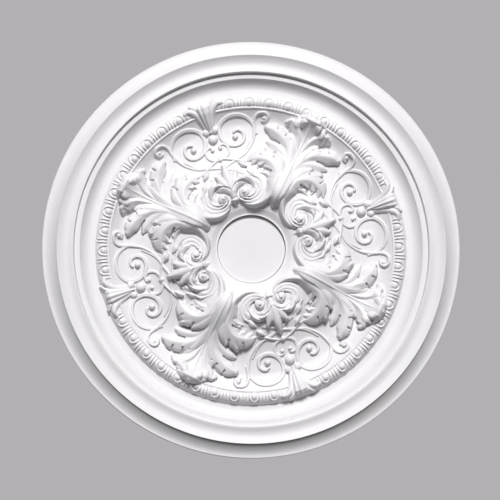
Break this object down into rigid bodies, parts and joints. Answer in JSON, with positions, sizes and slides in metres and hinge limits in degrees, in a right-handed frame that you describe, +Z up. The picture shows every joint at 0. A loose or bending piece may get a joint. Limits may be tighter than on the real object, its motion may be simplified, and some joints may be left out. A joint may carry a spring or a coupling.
{
  "type": "ceiling rose",
  "caption": "Round moulded ceiling rose with acanthus leaves, scrolls and an egg-and-dart ring round a flat recessed centre disc.",
  "frame": {"origin": "centre of the flat back, on the plane that meets the ceiling", "axes": "+Z up into the ceiling, the carved face looks along -Z, and the four great leaves lie along +X, +Y, -X and -Y"},
  "size_m": [0.7, 0.7, 0.0551],
  "materials": {
    "matt_white_paint": "matt white factory paint on moulded foam"
  },
  "bodies": {
    "root": {"ceiling_rose": "matt_white_paint"}
  },
  "joints": []
}
